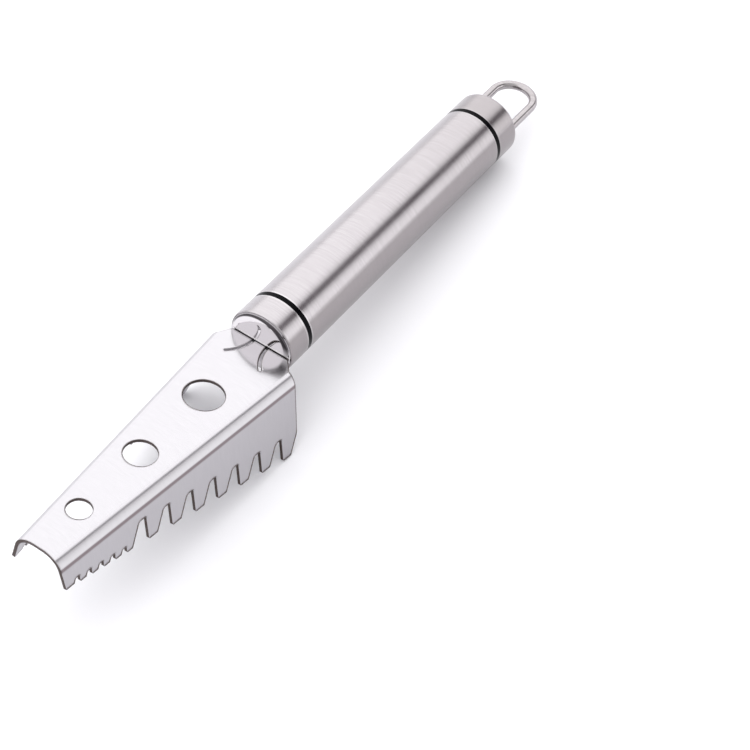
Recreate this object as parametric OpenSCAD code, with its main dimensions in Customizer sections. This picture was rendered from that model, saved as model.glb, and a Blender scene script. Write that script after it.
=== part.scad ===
// Hand-held fish scaler: a toothed blade bent from one sheet, on a round tubular handle
// with an end cap and a black plug at each end, and a wire loop to hang it by.
//
// The pieces are drawn in the handle's frame: X runs along the handle's axis towards
// the blade's tip, and X = 0 is the front cap's end face. rest_pose() then lays the
// whole scaler on the table as it comes to rest: on the rear corners of its two
// deepest teeth and on the lower rim of the rear cap.

/* [Handle] */
// Outer diameter of the tube, the rings and the caps
handle_d = 21; // [17:0.5:26]
// Length of the steel tube between the two black rings
tube_len = 98.2; // [70:0.1:130]
// Wall of the steel tube
tube_wall = 0.8; // [0.5:0.1:1.4]
// Width of the black ring that each plug shows
ring_w = 1.65; // [1:0.05:4]

/* [Caps] */
// Length of the cap that carries the blade
front_cap_len = 8.5; // [7:0.1:16]
// Length of the cap that carries the hanging loop
rear_cap_len = 9.4; // [7:0.1:16]
// Side wall of a cap
cap_wall = 0.8; // [0.5:0.1:1.4]
// End wall of a cap
cap_end = 1.2; // [0.8:0.1:2]
// Radius of a cap's rounded outer edge
cap_edge_r = 1; // [0.4:0.1:1.8]

/* [Plugs] */
// Length of a plug's spigot inside the tube
tube_spigot = 12; // [8:0.5:20]
// Wall round the hollow core of a plug's tube spigot
core_wall = 2; // [1.2:0.1:4]
// Web left between a plug's core and its ring
core_web = 3; // [1:0.1:6]
// Chamfer that leads a plug into the tube
lead_in = 0.6; // [0.2:0.1:1]

/* [Hanging loop] */
// Diameter of the loop's wire
wire_d = 2.8; // [2:0.1:3.4]
// Distance between the two legs, centre to centre
leg_spacing = 13.4; // [10:0.1:14]
// How far the loop stands out of the rear cap
loop_reach = 22.5; // [15:0.1:30]
// Length of each leg inside the cap and its plug
leg_in = 8; // [4:0.1:8.5]

/* [Blade sheet] */
// Thickness of the blade's steel sheet
sheet_t = 1; // [0.6:0.1:1.5]
// Length of the blade in front of the cap
blade_len = 95.6; // [88:0.1:104]
// Width of the flat top between the bends, at the cap
flat_w_rear = 17.6; // [15:0.1:20]
// Width of the flat top between the bends, at the tip
flat_w_tip = 2.6; // [2:0.1:6]
// Outer radius of the two bends
bend_r = 6.35; // [4:0.05:7]
// Outward lean of the flanges from square
flange_splay = 12.7; // [4:0.1:16]
// Rise of the flat top towards the tip
plate_pitch = 3.4; // [0:0.1:5]
// Depth of the flat top's rear edge below the handle's axis
plate_drop = 0.15; // [0:0.05:2]
// Lean of the tip's edge back from square
tip_lean = 5; // [0:0.1:10]
// Distance of the flanges' rear edge from the cap
setback = 2.5; // [1:0.05:4]
// Width of the slanted shoulder between the cap and the flange's rear edge
shoulder_run = 2.6; // [1:0.1:4]
// Lean of the flanges' rear edge
rear_lean = 3.4; // [0:0.1:8]
// Radius where the rear edge turns into the last tooth
rear_round_r = 5; // [1:0.1:6]

/* [Large teeth] */
// Number of large teeth on each flange
tooth_count = 7; // [5:1:8]
// Distance from one large tooth to the next
tooth_pitch = 8.99; // [8.4:0.01:9.6]
// Width of a large tooth at its end
tooth_w = 3.4; // [2.6:0.05:3.7]
// Height of a large tooth's upright front side
tooth_h = 7.7; // [6:0.1:8.8]
// Depth of the rearmost tooth's end below the bend
rear_depth = 21.5; // [20:0.1:24]
// Place of the rearmost tooth's front side
rear_tooth_x = 10.15; // [9.4:0.05:11.5]
// How much shallower each next large tooth ends
tooth_step = 1.73; // [1.5:0.01:1.9]
// Lean of the teeth's slanted rear sides
tooth_lean = 28.5; // [18:0.1:30]
// Radius of a large gullet beside the upright side
gullet_r_front = 0.5; // [0.2:0.05:0.7]
// Radius of a large gullet beside the slanted side
gullet_r_rear = 1.2; // [0.5:0.05:1.2]
// Radius on the front corner of a large tooth's end
tooth_tip_r = 0.4; // [0.1:0.05:0.8]

/* [Small teeth] */
// Distance from one small tooth to the next
small_pitch = 4.24; // [3.9:0.01:4.8]
// Width of a small tooth at its end
small_w = 2.15; // [1.7:0.05:2.3]
// Height of a small tooth's upright front side
small_h = 2; // [1.2:0.05:2.4]
// How much shallower each next small tooth ends
small_step = 0.7; // [0.5:0.01:0.8]
// Gap at the ends between the small and the large teeth
row_gap = 6.1; // [5:0.1:7]
// How much shallower the small teeth start than the large ones end
row_step = 1.25; // [0.8:0.05:2]
// Radius of a small notch beside the upright side
notch_r_front = 0.3; // [0.1:0.05:0.35]
// Radius of a small notch beside the slanted side
notch_r_rear = 0.7; // [0.3:0.05:0.8]
// Radius on the front corner of a small tooth's end
small_tip_r = 0.3; // [0.1:0.05:0.5]

/* [Holes and slits] */
// Distance of the large hole from the cap
hole_1_x = 26.1; // [22:0.1:30]
// Diameter of the large hole
hole_1_d = 11.7; // [8:0.1:12.5]
// Distance of the middle hole from the cap
hole_2_x = 53.9; // [48:0.1:60]
// Diameter of the middle hole
hole_2_d = 9.5; // [6:0.1:10]
// Distance of the small hole from the cap
hole_3_x = 79.2; // [74:0.1:83]
// Diameter of the small hole
hole_3_d = 7.1; // [4:0.1:7.5]
// Distance of each slit's mouth from the blade's middle
slit_y = 2.3; // [1.9:0.05:3]
// Width of the slits
slit_w = 0.9; // [0.5:0.05:0.9]
// Diameter of the round end of a slit
slit_end_d = 1; // [0.95:0.05:1.6]
// Radius of the slits' curve
slit_r = 13; // [11:0.5:15]
// Direction in which a slit leaves the cap
slit_heading = 3; // [0:0.5:8]
// Angle through which a slit curves
slit_sweep = 41; // [30:0.5:44]
// Length of the tang that holds the blade in the cap and its plug
tang_len = 12; // [8:0.5:16]

/* [Clearances] */
// Clearance round the plugs' spigots and the loop's legs
fit_gap = 0.05; // [0.03:0.01:0.15]
// Clearance round the tang in its slot
slot_gap = 0.1; // [0.05:0.01:0.2]
// Gap between pieces that seat end to end
seat_gap = 0.05; // [0.02:0.01:0.2]

/* [Hidden] */

// Facets shown for round forms
$fn = 96;
// Overshoot of cuts past the faces they open
over = 1;
// Overshoot of the blade's forms past the planes that trim them
trim = 6;
// How far a flange's faces lie inside the bend's, so that the two cross cleanly
seam = 0.002;

handle_r = handle_d / 2;
wire_r = wire_d / 2;

// Places along the handle, from the front cap's end face backwards
front_ring_x = -front_cap_len - ring_w;
tube_x = front_ring_x - tube_len;
rear_ring_x = tube_x - ring_w;
rear_end_x = rear_ring_x - rear_cap_len;

// The loop's arc is centred where its legs end
arc_r = leg_spacing / 2;
arc_x = rear_end_x - loop_reach + wire_r + arc_r;

// The fold lines run inwards towards the tip
half_rear = flat_w_rear / 2;
half_tip = flat_w_tip / 2;
taper = atan((half_rear - half_tip) / blade_len);
fold_len = blade_len / cos(taper);

// Large teeth, counted from the rear
function tooth_x(i) = rear_tooth_x + i * tooth_pitch;
function tooth_v(i) = rear_depth - i * tooth_step;
last_x = tooth_x(tooth_count - 1);
last_v = tooth_v(tooth_count - 1);

// Small teeth, counted from the rear: as many as fit before the tip
small_start = last_x + row_gap;
tip_reach = bend_r * sin(taper);
small_count = floor((fold_len - tip_reach - small_w / 2 - small_start) / small_pitch) + 1;
function small_x(i) = small_start + i * small_pitch;
function small_v(i) = last_v - row_step - i * small_step;
small_last_v = small_v(small_count - 1);

// Heights on the inner face of a flange, which reaches lower than the outer face
inner_r = bend_r - sheet_t;
function inner_y(v) = inner_r * cos(flange_splay) + v * sin(flange_splay);
function inner_z(v) = -bend_r + inner_r * sin(flange_splay) - v * cos(flange_splay);

// Where the rear corner of the rearmost tooth's end lies, in the handle's frame
foot_plate_x = (rear_tooth_x - tooth_w) * cos(taper) + inner_y(rear_depth) * sin(taper);
foot_plate_z = inner_z(rear_depth);
foot_x = foot_plate_x * cos(plate_pitch) - foot_plate_z * sin(plate_pitch);
foot_z = foot_plate_x * sin(plate_pitch) + foot_plate_z * cos(plate_pitch) - plate_drop;

// The table touches that corner and the rear cap's rounded rim
rim_x = rear_end_x + cap_edge_r;
rim_z = -handle_r + cap_edge_r;
rim_reach = norm([foot_x - rim_x, foot_z - rim_z]);
rest_tilt = atan2(foot_z - rim_z, foot_x - rim_x) + asin(cap_edge_r / rim_reach);
rest_z = foot_x * sin(rest_tilt) - foot_z * cos(rest_tilt);

// Ends of the resting scaler, so that its origin lies under its middle
rise = plate_pitch - rest_tilt;
low_z = inner_z(small_last_v);
low_x = blade_len + low_z * tan(tip_lean);
front_reach = max(blade_len * cos(rise), low_x * cos(rise) - low_z * sin(rise))
    - plate_drop * sin(rest_tilt);
rear_reach = (arc_x - arc_r) * cos(rest_tilt) - wire_r;
rest_x = -(front_reach + rear_reach) / 2;

module rest_pose() {
    translate([rest_x, 0, rest_z]) rotate([0, rest_tilt, 0]) children();
}

// Turns a form drawn upright so that it points forwards from x, or backwards
module forwards(x) {
    translate([x, 0, 0]) rotate([0, 90, 0]) children();
}

module backwards(x) {
    translate([x, 0, 0]) rotate([0, -90, 0]) children();
}

// The blade's own frame: the flat top's upper face is z = 0, its rear edge is x = 0
module blade_frame() {
    translate([0, 0, -plate_drop]) rotate([0, -plate_pitch, 0]) children();
}

// Frame of the left fold line, with y outwards from the start of the bend
module fold_frame() {
    translate([0, half_rear, 0]) rotate([0, 0, -taper]) children();
}

module both_sides() {
    children();
    mirror([0, 1, 0]) children();
}

// Gullet between a tooth whose upright front side is at x_front and the next tooth,
// whose slanted rear side ends at x_rear and depth v_rear; its top is at depth v_top
module gullet(x_front, x_rear, v_rear, v_top, r_front, r_rear) {
    low_v = v_rear + 2 * tooth_step + over;
    corner_x = x_rear - (v_rear - v_top) * tan(tooth_lean);
    tangent = r_rear * tan((90 - tooth_lean) / 2);
    polygon([
        [x_front, -low_v],
        [x_front, -v_top - r_front],
        [x_front + r_front, -v_top],
        [corner_x - tangent, -v_top],
        [corner_x + tangent * sin(tooth_lean), -v_top - tangent * cos(tooth_lean)],
        [x_rear + (low_v - v_rear) * tan(tooth_lean), -low_v]
    ]);
    translate([x_front + r_front, -v_top - r_front]) circle(r_front);
    translate([corner_x - tangent, -v_top - r_rear]) circle(r_rear);
}

// What a rounded front corner of a tooth's end takes away
module corner_cut(x, v, r) {
    difference() {
        translate([x - r, -v - over]) square(r + over);
        translate([x - r, -v + r]) circle(r);
    }
}

// Outline of a flange before its gullets are cut: the rear edge, the ends of the
// teeth as a flight of steps, and the tip, which is trimmed later. It reaches over
// the bend as well, which it leaves whole
module flange_blank() {
    foot_back = rear_tooth_x - tooth_w;
    rear_slope = tan(rear_lean);
    side_slope = tan(tooth_lean);
    knee_v = (foot_back - side_slope * rear_depth - setback - rear_slope * over)
        / (rear_slope - side_slope);
    knee_x = setback + rear_slope * (knee_v + over);
    turn = tooth_lean - rear_lean;
    tangent = rear_round_r * tan(turn / 2);
    upper = [knee_x - tangent * sin(rear_lean), -knee_v + tangent * cos(rear_lean)];
    lower = [knee_x + tangent * sin(tooth_lean), -knee_v - tangent * cos(tooth_lean)];
    high = 2 * bend_r;
    start_v = -bend_r / 2;
    polygon(concat(
        [[-trim, high], [-trim, -start_v], [setback + rear_slope * (start_v + over), -start_v]],
        [upper, lower],
        [for (i = [0 : tooth_count - 1], side = [tooth_w, 0]) [tooth_x(i) - side, -tooth_v(i)]],
        [for (i = [0 : small_count - 1], side = [0, small_w]) [small_x(i) + side, -small_v(i)]],
        [[fold_len + trim, -small_last_v], [fold_len + trim, high]]
    ));
    translate(upper + rear_round_r * [cos(rear_lean), sin(rear_lean)]) circle(rear_round_r);
}

module flange_outline() {
    difference() {
        flange_blank();
        for (i = [0 : tooth_count - 2])
            gullet(tooth_x(i), tooth_x(i + 1) - tooth_w, tooth_v(i + 1), tooth_v(i) - tooth_h,
                gullet_r_front, gullet_r_rear);
        gullet(last_x, small_start, small_v(0), last_v - tooth_h, gullet_r_front, gullet_r_rear);
        for (i = [0 : small_count - 2])
            gullet(small_x(i) + small_w, small_x(i + 1), small_v(i + 1), small_v(i) - small_h,
                notch_r_front, notch_r_rear);
        for (i = [0 : tooth_count - 1]) corner_cut(tooth_x(i), tooth_v(i), tooth_tip_r);
        for (i = [0 : small_count - 2]) corner_cut(small_x(i) + small_w, small_v(i), small_tip_r);
    }
}

// Section across one fold: a strip of the flat top, the bend and the whole flange,
// drawn about the centre of the bend
module side_section() {
    lap = half_tip;
    deep = rear_depth + over;
    difference() {
        union() {
            circle(bend_r);
            translate([-lap, 0]) square([lap, bend_r]);
            rotate(flange_splay) translate([0, -deep]) square([bend_r - seam, deep]);
        }
        circle(inner_r);
        translate([-bend_r, -bend_r]) square([bend_r, bend_r + inner_r]);
        translate([-lap - bend_r, 0]) square([bend_r, bend_r + over]);
        rotate(flange_splay) translate([-2 * bend_r, -deep - over])
            square([2 * bend_r + inner_r - seam, deep + over]);
    }
}

// One side of the blade, from a strip of the flat top to the teeth
module side() {
    intersection() {
        translate([-trim, 0, -bend_r]) rotate([90, 0, 90])
            linear_extrude(fold_len + 2 * trim) side_section();
        translate([0, 0, -bend_r]) rotate([flange_splay, 0, 0]) translate([0, 2 * bend_r, 0])
            rotate([90, 0, 0]) linear_extrude(4 * bend_r) flange_outline();
    }
}

module flat_top() {
    half_end = half_tip - over * tan(taper);
    translate([0, 0, -sheet_t]) linear_extrude(sheet_t)
        polygon([
            [0, -half_rear], [blade_len + over, -half_end], [blade_len + over, half_end],
            [0, half_rear]
        ]);
}

// Corner between the cap's flat end and the flange's rear edge, as seen from above
module shoulder_cut() {
    start = max(handle_r - cap_edge_r - half_rear, 0);
    far = bend_r + rear_depth;
    translate([0, 0, -far]) linear_extrude(far + over)
        polygon([
            [-trim, start], [0, start], [setback, start + shoulder_run],
            [setback, far], [-trim, far]
        ]);
}

// Curved slit beside the tongue, open at the rear edge and round at its end
module slit() {
    centre = [-slit_r * sin(slit_heading), slit_y + slit_r * cos(slit_heading)];
    from = slit_heading - 90 - asin(trim / slit_r);
    to = slit_heading - 90 + slit_sweep;
    far = 2 * slit_r;
    translate([centre.x, centre.y, -sheet_t - over]) linear_extrude(sheet_t + 2 * over) {
        intersection() {
            difference() {
                circle(slit_r + slit_w / 2);
                circle(slit_r - slit_w / 2);
            }
            polygon([[0, 0], far * [cos(from), sin(from)], far * [cos(to), sin(to)]]);
        }
        translate(slit_r * [cos(to), sin(to)]) circle(slit_end_d / 2);
    }
}

module hole(x, d) {
    translate([x, 0, -2 * sheet_t]) cylinder(h = 3 * sheet_t, d = d);
}

// Tang behind the tongue between the slits, made wider by gap on every side
module tang(gap) {
    half = slit_y - slit_w / 2 + gap;
    lap = slit_w;
    translate([-tang_len - gap, -half, -sheet_t - gap])
        cube([tang_len + gap + lap, 2 * half, sheet_t + 2 * gap]);
}

module blade() {
    wide = half_rear + bend_r + rear_depth;
    color("gainsboro") rest_pose() blade_frame() {
        difference() {
            intersection() {
                union() {
                    flat_top();
                    both_sides() fold_frame() side();
                }
                translate([seat_gap, -wide, -wide]) cube([blade_len + wide, 2 * wide, 2 * wide]);
                translate([blade_len, 0, 0]) rotate([0, tip_lean, 0])
                    translate([-2 * blade_len, -wide, -wide])
                        cube([2 * blade_len, 2 * wide, 2 * wide]);
            }
            both_sides() {
                fold_frame() shoulder_cut();
                slit();
            }
            hole(hole_1_x, hole_1_d);
            hole(hole_2_x, hole_2_d);
            hole(hole_3_x, hole_3_d);
        }
        tang(0);
    }
}

// Cap drawn upright, open below, with its rounded end at the top
module cap(len) {
    rotate_extrude() difference() {
        union() {
            square([handle_r, len - cap_edge_r]);
            square([handle_r - cap_edge_r, len]);
            translate([handle_r - cap_edge_r, len - cap_edge_r]) circle(cap_edge_r);
        }
        translate([0, -over]) square([handle_r - cap_wall, len - cap_end + over]);
    }
}

// Plug drawn upright: the ring stands on z = 0, with the cap's spigot above it
// and the cored tube spigot below
module plug(cap_len) {
    in_cap = handle_r - cap_wall - fit_gap;
    in_tube = handle_r - tube_wall - fit_gap;
    core = in_tube - core_wall;
    top = cap_len + ring_w - cap_end - seat_gap;
    rotate_extrude() polygon([
        [0, top], [in_cap - lead_in, top], [in_cap, top - lead_in], [in_cap, ring_w],
        [handle_r, ring_w], [handle_r, 0], [in_tube, 0],
        [in_tube, lead_in - tube_spigot], [in_tube - lead_in, -tube_spigot],
        [core, -tube_spigot], [core, -core_web], [0, -core_web]
    ]);
}

module front_cap() {
    color("silver") rest_pose() difference() {
        forwards(-front_cap_len) cap(front_cap_len);
        blade_frame() tang(slot_gap);
    }
}

module front_plug() {
    color("black") rest_pose() difference() {
        forwards(front_ring_x) plug(front_cap_len);
        blade_frame() tang(slot_gap);
    }
}

module handle_tube() {
    color("silver") rest_pose() forwards(tube_x) difference() {
        cylinder(h = tube_len, r = handle_r);
        translate([0, 0, -over]) cylinder(h = tube_len + 2 * over, r = handle_r - tube_wall);
    }
}

// Room for the loop's two legs
module leg_bores() {
    both_sides() translate([0, arc_r, 0]) forwards(rear_end_x - over)
        cylinder(h = leg_in + over + seat_gap, r = wire_r + fit_gap);
}

module rear_plug() {
    color("black") rest_pose() difference() {
        backwards(rear_ring_x + ring_w) plug(rear_cap_len);
        leg_bores();
    }
}

module rear_cap() {
    color("silver") rest_pose() difference() {
        backwards(rear_ring_x) cap(rear_cap_len);
        leg_bores();
    }
}

module hanging_loop() {
    color("whitesmoke") rest_pose() {
        both_sides() translate([0, arc_r, 0]) forwards(arc_x)
            cylinder(h = rear_end_x + leg_in - arc_x, r = wire_r);
        translate([arc_x, 0, 0]) rotate([0, 0, 90]) rotate_extrude(angle = 180)
            translate([arc_r, 0]) circle(wire_r);
    }
}

blade();
front_cap();
front_plug();
handle_tube();
rear_plug();
rear_cap();
hanging_loop();
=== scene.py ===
import math

import bpy
from mathutils import Matrix, Vector

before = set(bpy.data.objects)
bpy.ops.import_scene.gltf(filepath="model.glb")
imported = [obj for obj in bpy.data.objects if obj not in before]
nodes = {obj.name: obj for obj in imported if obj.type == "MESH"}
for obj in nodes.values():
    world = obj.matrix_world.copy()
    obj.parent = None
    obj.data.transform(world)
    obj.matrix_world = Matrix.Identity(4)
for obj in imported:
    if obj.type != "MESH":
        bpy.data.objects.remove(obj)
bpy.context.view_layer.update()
scene = bpy.context.scene

# Lengths are in metres. An easing is the places where it starts and ends, and its values there unless they are
# 0 and 1. A course is places with the value or colour that holds at each, straight or eased between them

# The handle's axis leans back by this angle as the scaler rests on the table
LEAN = math.radians(6.845)
# Where the middle of the front cap's end face lies, seen along the leaning axis
FACE = (0.025643, 0.021642)
# The blade's flat back rises by this angle towards its tip
RISE = math.radians(10.245)
# Where the blade's own origin lies, seen along its back
BACK = (0.026872, 0.019934)
# The back's half width at the handle and at the tip, and its length, which give how it narrows on each side
HALF_BACK, HALF_TIP, BACK_LENGTH = 0.0088, 0.0013, 0.0956
TAPER = math.atan((HALF_BACK - HALF_TIP) / BACK_LENGTH)
# The outer radius of each side bend, and how far a side splays from upright
BEND = 0.00635
SPLAY = math.radians(12.7)
UPRIGHT = math.pi / 2

# Where the camera stands, its right and back directions, and its lens and sensor in millimetres
EYE = (0.317149, 0.223802, 0.517673)
EYE_RIGHT = (-0.566275, 0.823718, 0.028653)
EYE_BACK = (0.498028, 0.314262, 0.808213)
LENS, SENSOR = 106.2033, 36
NEAR, FAR = 0.02, 20

# The light round the handle's axis, by degrees from straight up, with the camera's side above 0. Towards the
# handle's rear it is a broad box, a dark gap and a second box, and towards the blade's tip it is one box
LIGHT_REAR = (
    (-89, 0.4), (-80, 0.75), (-66, 1.0), (2, 1.0), (18, 0.84), (32, (0.06, 0.044, 0.056)),
    (41, (0.05, 0.037, 0.046)), (48, 0.6), (57, 0.84), (65, 0.93), (78, 0.92), (89, 0.6),
)
LIGHT_TIP = ((-88, 0.25), (-72, 0.6), (-60, 0.95), (-8, 0.95), (18, 0.5), (72, 0.42), (88, 0.2))
# Along the axis, from -1 straight to the rear to 1 straight to the tip: the easing from one to the other, and
# how the brightness changes
LIGHT_CHANGE = (-0.24, 0.08)
LIGHT_ALONG = ((-1.0, 0.5), (-0.8, 1.0), (0.72, 1.0), (1.0, 0.8))
LIGHT_STRENGTH = 1.9
# The pale sweep's colour, and the easing into it as a direction sinks to the table
SWEEP = (0.52, 0.517, 0.525)
SWEEP_HEIGHT = (0.22, 0.17)

# The floor's half width, how far it lies below the scaler's feet, its colour and its roughness
FLOOR_HALF, FLOOR_DROP = 2, 0.0001
FLOOR = (0.94, 0.935, 0.965)
FLOOR_ROUGH = 0.9

# The handle's steel: its darkest and brightest marks, the painted shade that it darkens to, and the painted
# highlight on its rims
BRUSHED = ((0.405, 0.382, 0.396), (0.47, 0.446, 0.462))
SHADE_TONE = (0.2, 0.178, 0.176)
RIM_HIGHLIGHT = (0.8, 0.78, 0.79)
# X runs along the axis and is 0 at the end face: where the end face starts, and where painted shade darkens the
# tube and the rear cap. Z is the height over the axis: where painted shade darkens the steel below its crest
FACE_EDGE = (-0.0004, -0.0001)
TUBE_REAR_SHADE = (-0.02, -0.108, 0.0, 0.15)
CAP_REAR_SHADE = (-0.1092, -0.1097, 0.0, 0.4)
SHADE_BELOW_CREST = (0.0068, 0.0052, 0.0, 0.6)
# Where the painted highlights on the rims at each black ring start, their course to the rear from there, and the
# length that it is read over
RINGS = (-0.00815, -0.108)
RING_COURSE = ((0.0, 0.0), (0.0002, 0.4), (0.00215, 0.4), (0.00235, 0.0))
RING_SPAN = -0.125
# The rounding of the handle's edges, and the depth of the brushing
HANDLE_RIM, BRUSHED_DEPTH = 0.0003, 0.000014
# The brushed steel's roughness, how much its cloud adds, and how much less the end face has
BRUSHED_ROUGH, BRUSHED_CLOUD, FACE_POLISH = 0.2, 0.08, -0.18

# The polished end face and the dark lines of painted shade on it, by the height over the blade's back: one in
# the gap where the blade goes in and a thin one above it. They end at this distance on either side of the middle
END_FACE = (0.72, 0.695, 0.71)
SLOT_SHADE = (0.01, 0.01, 0.012)
SLOT_LINES = (
    (-0.00125, 0.0), (-0.00105, 0.98), (0.00025, 0.98), (0.00035, 0.0),
    (0.00055, 0.0), (0.00065, 0.9), (0.00075, 0.0),
)
SLOT_SPAN = 0.00125
SLOT_END = (0.0091, 0.0089)
# The painted reflection of a dark crescent that the face mirrors: its inner edge lies round a middle off the
# axis, its outer edge lies inside the rim, and it is faint near the blade
CRESCENT_REFLECTION = (0.02, 0.015, 0.02)
CRESCENT_MIDDLE = (-0.0009, -0.0002)
CRESCENT_INNER = (0.0086, 0.009)
CRESCENT_OUTER = (0.0101, 0.0098)
CRESCENT_FOOT = (0.0008, 0.004, 0.1, 0.92)
# How far the face falls back at this radius, and the height of its lip over the blade
FACE_RADIUS, FACE_FALL = 0.01, -0.0015
LIP = (0.00045, 0.0009, 0.00025, 0.0)

# The blade's steel: its darkest and brightest marks, the painted shade on its side, the painted reflection of a
# dark line at the bend's foot, and its cut edges, whose dark tone also paints shade on the lower edges
SHEET = ((0.49, 0.478, 0.5), (0.515, 0.503, 0.525))
SHEET_SIDE_SHADE = (0.25, 0.235, 0.245)
BEND_LINE_REFLECTION = (0.17, 0.14, 0.15)
CUT_AND_SHADE = (0.1, 0.08, 0.075)
LIT_CUT = (0.5, 0.48, 0.5)
# By the way over the sheet, from the bend's start round the bend and down the side: the share of a right angle
# that the normal has turned, the painted reflection of a dark line at the bend's foot, the painted shade on the
# side, and the roughness
WAY_SPAN = 0.01
BEND_COURSE = (
    (0.0034, 0.0), (0.0041, 0.1), (0.00475, 0.33), (0.0053, 0.42),
    (0.0072, 0.54), (0.0076, 0.575), (0.0088, 0.63), (0.0094, 1 - SPLAY / UPRIGHT),
)
BEND_LINE_COURSE = ((0.0074, 0.0), (0.008, 0.95), (0.00845, 0.95), (0.0093, 0.0))
SIDE_SHADE_EDGE = (0.0078, 0.0092, 0.0, 0.3)
SIDE_ROUGH = (0.003, 0.0045, 0.12, 0.28)
# How much the cloud and a cut edge add to the roughness, and the depth of the marks
SHEET_CLOUD, CUT_ROUGH, SHEET_DEPTH = 0.08, 0.3, 0.000003
# By the match with the sheet's own normal: where the surface is a cut edge, and where it is the outer skin
CUT_EDGE = (0.75, 0.45)
OUTER_SKIN = (0.6, 0.8)
# The rounding of the cut edges, and the reach of the painted shade, a dark line on the lower ones, with the tilt
# that brings it
RIM_RADIUS, RIM_REACH = 0.0007, 0.0013
LOWER_EDGE_SHADE = (0.08, 0.2)
# The far slit's cut wall has a painted highlight, a bright sheet tone: that lies behind this X and beyond this Y
LIT_WALL_BEHIND = (0.0125, 0.0115)
LIT_WALL_BEYOND = (-0.001, -0.0015)

# The loop's wire and the plugs' plastic: colours, then roughness, how much the cloud adds, and the marks' depth
WIRE = ((0.34, 0.318, 0.326), (0.43, 0.404, 0.413))
WIRE_ROUGH, WIRE_CLOUD, WIRE_DEPTH = 0.1, 0.1, 0.000008
PLASTIC = ((0.0015, 0.0013, 0.002), (0.004, 0.0035, 0.005))
PLASTIC_ROUGH, PLASTIC_CLOUD, PLASTIC_DEPTH = 0.12, 0.15, 0.000006
PLASTIC_SHINE = 0.04


def camera():
    """Looks down on the scaler as the photograph does. The turn's columns are its right, up and back."""
    data = bpy.data.cameras.new("camera")
    data.sensor_fit = "AUTO"
    data.sensor_width = SENSOR
    data.lens = LENS
    data.clip_start, data.clip_end = NEAR, FAR
    obj = bpy.data.objects.new("camera", data)
    right = Vector(EYE_RIGHT).normalized()
    back = Vector(EYE_BACK).normalized()
    up = back.cross(right).normalized()
    turn = Matrix((right, up, back)).transposed()
    obj.matrix_world = Matrix.Translation(EYE) @ turn.to_4x4()
    scene.collection.objects.link(obj)
    scene.camera = obj


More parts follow.
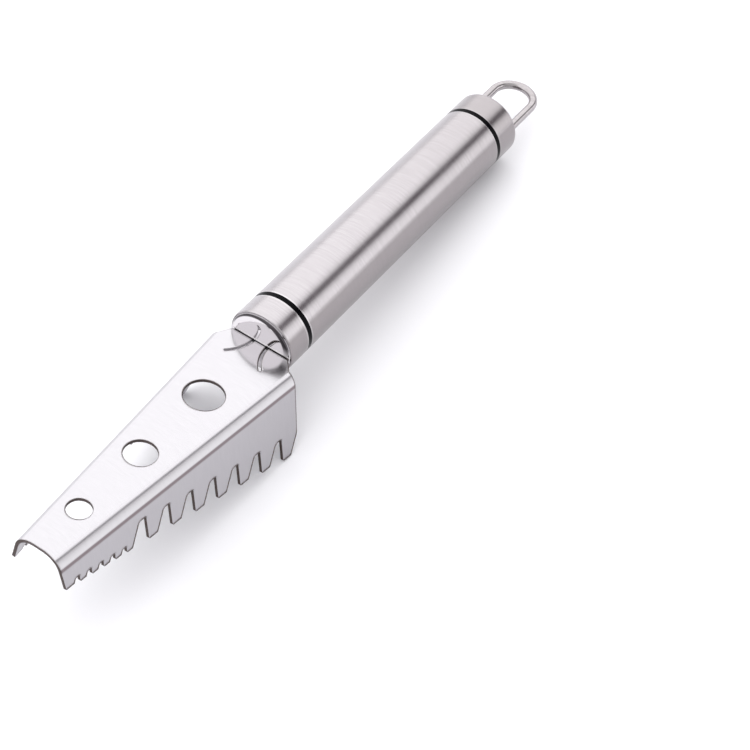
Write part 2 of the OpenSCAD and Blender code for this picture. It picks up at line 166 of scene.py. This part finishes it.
class Nodes:
    """Short ways to place and join shader nodes in one tree."""

    def __init__(self, tree):
        self.tree = tree

    def add(self, kind, **settings):
        node = self.tree.nodes.new(kind)
        for name, value in settings.items():
            setattr(node, name, value)
        return node

    def put(self, value, socket):
        """Gives a socket a number, a direction, a colour or another node's output."""
        if isinstance(value, (int, float)):
            socket.default_value = value
        elif isinstance(value, tuple):
            socket.default_value = (*value, 1)[:len(socket.default_value)]
        else:
            self.tree.links.new(value, socket)

    def math(self, operation, *values, clamp=False):
        node = self.add("ShaderNodeMath", operation=operation, use_clamp=clamp)
        for value, socket in zip(values, node.inputs):
            self.put(value, socket)
        return node.outputs[0]

    def product(self, first, *others):
        """Several values multiplied, so that a mask holds only where all do."""
        for other in others:
            first = self.math("MULTIPLY", first, other)
        return first

    def distance(self, a, b):
        """The square root of the sum of two squares."""
        return self.math("SQRT", self.math("ADD", self.product(a, a), self.product(b, b)))

    def vector(self, operation, *values):
        node = self.add("ShaderNodeVectorMath", operation=operation)
        for value, socket in zip(values, node.inputs):
            self.put(value, socket)
        return node.outputs["Value" if operation == "DOT_PRODUCT" else "Vector"]

    def xyz(self, vector):
        node = self.add("ShaderNodeSeparateXYZ")
        self.put(vector, node.inputs[0])
        return node.outputs

    def combined(self, *values):
        node = self.add("ShaderNodeCombineXYZ")
        for value, socket in zip(values, node.inputs):
            self.put(value, socket)
        return node.outputs["Vector"]

    def mapped(self, vector, kind, **settings):
        node = self.add("ShaderNodeMapping", vector_type=kind)
        for name, value in settings.items():
            node.inputs[name].default_value = value
        self.put(vector, node.inputs["Vector"])
        return node.outputs["Vector"]

    def turned(self, angle, origin):
        """Object coordinates turned about Y and moved: X runs along a piece and Z stands up from it."""
        place = self.add("ShaderNodeTexCoord").outputs["Object"]
        return self.mapped(place, "POINT", Rotation=(0, angle, 0), Location=(-origin[0], 0, -origin[1]))

    def noise(self, vector, scale, detail, roughness):
        node = self.add("ShaderNodeTexNoise")
        self.put(vector, node.inputs["Vector"])
        self.put(scale, node.inputs["Scale"])
        self.put(detail, node.inputs["Detail"])
        self.put(roughness, node.inputs["Roughness"])
        return node.outputs["Fac"]

    def course(self, value, stops, start=0.0, end=1.0, mode="LINEAR"):
        """A ramp over a value from start to end, with its stops at places on that same scale."""
        span = end - start
        node = self.add("ShaderNodeValToRGB")
        node.color_ramp.interpolation = mode
        elements = node.color_ramp.elements
        while len(elements) < len(stops):
            elements.new(0.5)
        for element, (place, colour) in zip(elements, stops):
            element.position = (place - start) / span
            element.color = (*colour, 1) if isinstance(colour, tuple) else (colour, colour, colour, 1)
        self.put(self.math("MULTIPLY_ADD", value, 1 / span, -start / span), node.inputs["Fac"])
        return node.outputs["Color"]

    def between(self, value, colours):
        """One of two colours by a noise, most of which lies in the middle of its range."""
        return self.course(value, ((0.3, colours[0]), (0.7, colours[1])))

    def smooth(self, value, start, end, low=0.0, high=1.0):
        """A value that eases from low to high as another goes from start to end."""
        node = self.add("ShaderNodeMapRange", interpolation_type="SMOOTHSTEP")
        for name, number in (("From Min", start), ("From Max", end), ("To Min", low), ("To Max", high)):
            node.inputs[name].default_value = number
        self.put(value, node.inputs["Value"])
        return node.outputs["Result"]

    def blend(self, mask, first, second):
        """One of two colours by a mask from 0 to 1. They are a Mix node's inputs 6 and 7 and its output 2."""
        node = self.add("ShaderNodeMix", data_type="RGBA")
        self.put(mask, node.inputs["Factor"])
        self.put(first, node.inputs[6])
        self.put(second, node.inputs[7])
        return node.outputs[2]

    def blend_normals(self, mask, first, second):
        """One of two normals by a mask from 0 to 1. They are a Mix node's inputs 4 and 5 and its output 1."""
        node = self.add("ShaderNodeMix", data_type="VECTOR")
        self.put(mask, node.inputs["Factor"])
        self.put(first, node.inputs[4])
        self.put(second, node.inputs[5])
        return node.outputs[1]

    def group(self, tree, **inputs):
        node = self.add("ShaderNodeGroup", node_tree=tree)
        for name, value in inputs.items():
            self.put(value, node.inputs[name])
        return node.outputs

    def bump(self, height, distance, under=None):
        """A normal by a height that is given in this distance, on top of another normal if there is one."""
        node = self.add("ShaderNodeBump")
        node.inputs["Strength"].default_value = 1.0
        node.inputs["Distance"].default_value = distance
        self.put(height, node.inputs["Height"])
        if under is not None:
            self.put(under, node.inputs["Normal"])
        return node.outputs["Normal"]


def studio():
    """
    A world of soft boxes round the handle's axis, which differ between its two ends, and a pale sweep all round
    at the height of the table. A direction has a rise over the axis and a reach along it.
    """
    world = bpy.data.worlds.new("studio")
    scene.world = world
    world.use_nodes = True
    world.node_tree.nodes.clear()
    n = Nodes(world.node_tree)
    direction = n.add("ShaderNodeTexCoord").outputs["Generated"]
    _, aside, height = n.xyz(direction)
    rise = n.vector("DOT_PRODUCT", direction, (-math.sin(LEAN), 0, math.cos(LEAN)))
    reach = n.vector("DOT_PRODUCT", direction, (math.cos(LEAN), 0, math.sin(LEAN)))
    angle = n.math("ARCTAN2", aside, rise)
    boxes = []
    for course in (LIGHT_REAR, LIGHT_TIP):
        stops = [(math.radians(degrees), light) for degrees, light in course]
        boxes.append(n.course(angle, stops, -UPRIGHT, UPRIGHT, "EASE"))
    around = n.blend(n.smooth(reach, *LIGHT_CHANGE), *boxes)
    light = n.vector("MULTIPLY", around, n.course(reach, LIGHT_ALONG, -1.0, 1.0, "EASE"))
    pale = n.vector("MAXIMUM", light, SWEEP)
    shine = n.add("ShaderNodeBackground")
    n.put(LIGHT_STRENGTH, shine.inputs["Strength"])
    n.put(n.blend(n.smooth(height, *SWEEP_HEIGHT), light, pale), shine.inputs["Color"])
    n.put(shine.outputs[0], n.add("ShaderNodeOutputWorld").inputs["Surface"])


def node_group(name, takes, gives):
    """An empty group with named inputs and outputs, each with its kind, Float or Vector."""
    tree = bpy.data.node_groups.new(name, "ShaderNodeTree")
    for sockets, way in ((takes, "INPUT"), (gives, "OUTPUT")):
        for socket, kind in sockets.items():
            tree.interface.new_socket(socket, in_out=way, socket_type="NodeSocket" + kind)
    n = Nodes(tree)
    return n, n.add("NodeGroupInput").outputs, n.add("NodeGroupOutput").inputs


def brush_marks():
    """
    A group for fine marks that run across X: noise that changes quickly along X and slowly along Y and Z, and
    a slow cloud over it. Fineness is in marks per metre, and Stretch is the share of it left along a mark.
    """
    n, given, kept = node_group(
        "brush_marks",
        {"Vector": "Vector", "Fineness": "Float", "Stretch": "Float"},
        {"Marks": "Float", "Cloud": "Float"},
    )
    x, y, z = n.xyz(given["Vector"])
    slow = n.product(given["Fineness"], given["Stretch"])
    place = n.combined(n.product(x, given["Fineness"]), n.product(y, slow), n.product(z, slow))
    n.put(n.noise(place, scale=1.0, detail=4.0, roughness=0.65), kept["Marks"])
    n.put(n.noise(given["Vector"], scale=90.0, detail=2.0, roughness=0.5), kept["Cloud"])
    return n.tree


def soft_rim():
    """
    A group for edges that aren't quite sharp. It rounds the normal that it is given within Radius of an edge,
    and marks how far the surface turns down within Reach of one, which is so on the lower edges alone.
    """
    n, given, kept = node_group(
        "soft_rim",
        {"Normal": "Vector", "Radius": "Float", "Reach": "Float"},
        {"Rounded": "Vector", "Lower": "Float"},
    )
    own = n.add("ShaderNodeNewGeometry").outputs["Normal"]
    tilts = []
    for width in ("Radius", "Reach"):
        rim = n.add("ShaderNodeBevel", samples=8)
        n.put(given[width], rim.inputs["Radius"])
        tilts.append(n.vector("SUBTRACT", rim.outputs["Normal"], own))
    n.put(n.vector("NORMALIZE", n.vector("ADD", given["Normal"], tilts[0])), kept["Rounded"])
    n.put(n.math("MULTIPLY", n.xyz(tilts[1])["Z"], -1.0, clamp=True), kept["Lower"])
    return n.tree


def material(name):
    """A new material, with its tree's nodes and its shader's sockets."""
    mat = bpy.data.materials.new(name)
    mat.use_nodes = True
    return mat, Nodes(mat.node_tree), mat.node_tree.nodes["Principled BSDF"].inputs


def table_top():
    """A plain pale floor that keeps the scaler's soft shadow."""
    mesh = bpy.data.meshes.new("table_top")
    corners = [(-1, -1), (1, -1), (1, 1), (-1, 1)]
    mesh.from_pydata([(x * FLOOR_HALF, y * FLOOR_HALF, 0) for x, y in corners], [], [(0, 1, 2, 3)])
    obj = bpy.data.objects.new("table_top", mesh)
    scene.collection.objects.link(obj)
    mat, n, shader = material("table_top")
    n.put(FLOOR, shader["Base Color"])
    n.put(FLOOR_ROUGH, shader["Roughness"])
    n.put(0.0, shader["Specular IOR Level"])
    mesh.materials.append(mat)
    obj.location.z = -FLOOR_DROP


def dress(node, mat):
    mesh = nodes[node].data
    mesh.materials.clear()
    mesh.materials.append(mat)


def brushed_steel(marks, rims):
    """
    Steel brushed round the handle, darkened with painted shade below its crest and towards its rear, and with
    painted highlights on the rims at each black ring. The front cap's end face is polished instead.
    """
    mat, n, shader = material("brushed_steel")
    place = n.turned(LEAN, FACE)
    x, y, z = n.xyz(place)
    fine = n.group(marks, Vector=place, Fineness=3800.0, Stretch=0.02)
    face = n.smooth(x, *FACE_EDGE)
    # Painted shade: the steel darkens towards the rear and below its crest
    rear = n.math("MAXIMUM", n.smooth(x, *TUBE_REAR_SHADE), n.smooth(x, *CAP_REAR_SHADE))
    painted_shade = n.math("MAXIMUM", n.smooth(z, *SHADE_BELOW_CREST), rear)
    at_rings = [(0.0, 0.0)] + [(ring - step, shine) for ring in RINGS for step, shine in RING_COURSE]
    tone = n.blend(painted_shade, n.between(fine["Marks"], BRUSHED), SHADE_TONE)
    # Painted highlights: a brighter band on the rims beside each black ring
    tone = n.blend(n.course(x, at_rings, 0.0, RING_SPAN), tone, RIM_HIGHLIGHT)
    slot, polish, dome = end_face(n, y, z)
    # The end face's colour, with painted shade along the slot lines and the painted reflection of the crescent
    n.put(n.blend(n.product(slot, face), n.blend(face, tone, polish), SLOT_SHADE), shader["Base Color"])
    n.put(1.0, shader["Metallic"])
    rough = n.math("MULTIPLY_ADD", fine["Cloud"], BRUSHED_CLOUD, BRUSHED_ROUGH)
    n.put(n.math("MULTIPLY_ADD", face, FACE_POLISH, rough, clamp=True), shader["Roughness"])
    under = n.bump(n.product(dome, face), 1.0)
    under = n.group(rims, Normal=under, Radius=HANDLE_RIM, Reach=HANDLE_RIM)["Rounded"]
    grain = n.product(fine["Marks"], n.math("SUBTRACT", 1.0, face))
    n.put(n.bump(grain, BRUSHED_DEPTH, under), shader["Normal"])
    return mat


def end_face(n, y, z):
    """
    The end face's dark lines of painted shade at the blade, its colour with the painted reflection of the
    crescent, and its height, which falls back with the fourth power of the distance from its middle and has a
    lip over the blade.
    """
    height = n.xyz(n.turned(RISE, BACK))["Z"]
    # Painted shade: dark lines where the blade goes into the end face
    lines = n.course(height, SLOT_LINES, -SLOT_SPAN, SLOT_SPAN)
    slot = n.product(lines, n.smooth(n.math("ABSOLUTE", y), *SLOT_END))
    radius = n.distance(y, z)
    aside, above = (n.math("SUBTRACT", place, middle) for place, middle in zip((y, z), CRESCENT_MIDDLE))
    # Painted reflection: a dark crescent inside the face's rim
    crescent = n.product(
        n.smooth(n.distance(aside, above), *CRESCENT_INNER),
        n.smooth(radius, *CRESCENT_OUTER),
        n.smooth(height, *CRESCENT_FOOT),
    )
    fall = n.product(n.math("POWER", n.product(radius, 1 / FACE_RADIUS), 4.0), FACE_FALL)
    return slot, n.blend(crescent, END_FACE, CRESCENT_REFLECTION), n.math("ADD", fall, n.smooth(height, *LIP))


def folded_place(n, x, y, z):
    """
    Where a place lies on the folded sheet: its side, the angle of the sheet's own normal there, and its way from
    the bend's start. The normal is upright on the back, turns round the bend's middle line and is held on the
    side.
    """
    side = n.math("SIGN", y)
    out = n.math("SUBTRACT", n.math("ABSOLUTE", y), HALF_BACK)
    out = n.math("MULTIPLY_ADD", out, math.cos(TAPER), n.product(x, math.sin(TAPER)))
    up = n.math("ADD", z, BEND)
    angle = n.math("MAXIMUM", n.math("ARCTAN2", up, out), SPLAY)
    angle = n.math("MINIMUM", angle, UPRIGHT)
    down = n.math("MULTIPLY_ADD", out, math.sin(SPLAY), n.product(up, -math.cos(SPLAY)))
    way = n.math("MULTIPLY_ADD", n.math("SUBTRACT", UPRIGHT, angle), BEND, n.math("MAXIMUM", down, 0.0))
    return side, angle, way


def sheet_match(n, side, angle):
    """How the surface matches the sheet's own normal: 1 on the outer skin, -1 on the inner one, 0 where cut."""
    own = n.add("ShaderNodeTexCoord").outputs["Normal"]
    x, y, z = n.xyz(n.mapped(own, "NORMAL", Rotation=(0, RISE, 0)))
    out = n.math("MULTIPLY_ADD", n.product(y, side), math.cos(TAPER), n.product(x, math.sin(TAPER)))
    return n.math("MULTIPLY_ADD", out, n.math("COSINE", angle), n.product(z, n.math("SINE", angle)))


def bend_normal(n, side, way):
    """The outer skin's normal, which turns by a course as on a bend that isn't a plain circle."""
    lean = n.product(n.course(way, BEND_COURSE, 0.0, WAY_SPAN), UPRIGHT)
    level = n.math("SINE", lean)
    normal = n.combined(
        n.product(level, math.sin(TAPER)), n.product(level, math.cos(TAPER), side), n.math("COSINE", lean),
    )
    return n.mapped(normal, "NORMAL", Rotation=(0, -RISE, 0))


def polished_steel(marks, rims):
    """
    Bright sheet steel with dark cut edges. Where the surface stands across the sheet's own normal, it was cut.
    The sides are rougher than the back and darkened with painted shade, with a painted reflection of a dark line
    at the bend's foot. The lower edges take the dark cut tone as painted shade, and the far slit's wall has a
    painted highlight.
    """
    mat, n, shader = material("polished_steel")
    place = n.turned(RISE, BACK)
    x, y, z = n.xyz(place)
    side, angle, way = folded_place(n, x, y, z)
    match = sheet_match(n, side, angle)
    own = n.add("ShaderNodeNewGeometry").outputs["Normal"]
    skin = n.blend_normals(n.smooth(match, *OUTER_SKIN), own, bend_normal(n, side, way))
    rim = n.group(rims, Normal=skin, Radius=RIM_RADIUS, Reach=RIM_REACH)
    cut_and_shade = n.smooth(n.math("ABSOLUTE", match), *CUT_EDGE)
    # Painted shade: the lower edges take the dark cut tone where they turn down towards the shaded floor
    cut_and_shade = n.math("MAXIMUM", cut_and_shade, n.smooth(rim["Lower"], *LOWER_EDGE_SHADE))
    fine = n.group(marks, Vector=place, Fineness=1600.0, Stretch=0.12)
    # Painted shade darkens the sides, and a painted reflection puts a dark line at the bend's foot
    tone = n.blend(n.smooth(way, *SIDE_SHADE_EDGE), n.between(fine["Marks"], SHEET), SHEET_SIDE_SHADE)
    tone = n.blend(n.course(way, BEND_LINE_COURSE, 0.0, WAY_SPAN, "EASE"), tone, BEND_LINE_REFLECTION)
    # Painted highlight: the far slit's cut wall is bright though its steel is the same as the near one
    lit_wall = n.product(n.smooth(x, *LIT_WALL_BEHIND), n.smooth(y, *LIT_WALL_BEYOND))
    n.put(n.blend(cut_and_shade, tone, n.blend(lit_wall, CUT_AND_SHADE, LIT_CUT)), shader["Base Color"])
    n.put(1.0, shader["Metallic"])
    rough = n.math("MULTIPLY_ADD", fine["Cloud"], SHEET_CLOUD, n.smooth(way, *SIDE_ROUGH))
    n.put(n.math("MULTIPLY_ADD", cut_and_shade, CUT_ROUGH, rough, clamp=True), shader["Roughness"])
    n.put(n.bump(fine["Marks"], SHEET_DEPTH, rim["Rounded"]), shader["Normal"])
    return mat


def bright_wire(marks):
    """Drawn steel wire, bright, with faint lines from the drawing."""
    mat, n, shader = material("bright_wire")
    fine = n.group(marks, Vector=n.turned(LEAN, FACE), Fineness=1200.0, Stretch=0.3)
    n.put(n.between(fine["Marks"], WIRE), shader["Base Color"])
    n.put(1.0, shader["Metallic"])
    n.put(n.math("MULTIPLY_ADD", fine["Cloud"], WIRE_CLOUD, WIRE_ROUGH), shader["Roughness"])
    n.put(n.bump(fine["Marks"], WIRE_DEPTH), shader["Normal"])
    return mat


def black_plastic(marks):
    """Smooth black plastic, with a slow change in its gloss and tone."""
    mat, n, shader = material("black_plastic")
    fine = n.group(marks, Vector=n.turned(LEAN, FACE), Fineness=900.0, Stretch=0.1)
    n.put(n.between(fine["Cloud"], PLASTIC), shader["Base Color"])
    n.put(PLASTIC_SHINE, shader["Specular IOR Level"])
    n.put(n.math("MULTIPLY_ADD", fine["Cloud"], PLASTIC_CLOUD, PLASTIC_ROUGH), shader["Roughness"])
    n.put(n.bump(fine["Marks"], PLASTIC_DEPTH), shader["Normal"])
    return mat


camera()
studio()
table_top()
marks = brush_marks()
rims = soft_rim()
steel = brushed_steel(marks, rims)
dress("blade", polished_steel(marks, rims))
for name in ("front_cap", "handle_tube", "rear_cap"):
    dress(name, steel)
black = black_plastic(marks)
for name in ("front_plug", "rear_plug"):
    dress(name, black)
dress("hanging_loop", bright_wire(marks))

scene.view_settings.view_transform = "Standard"
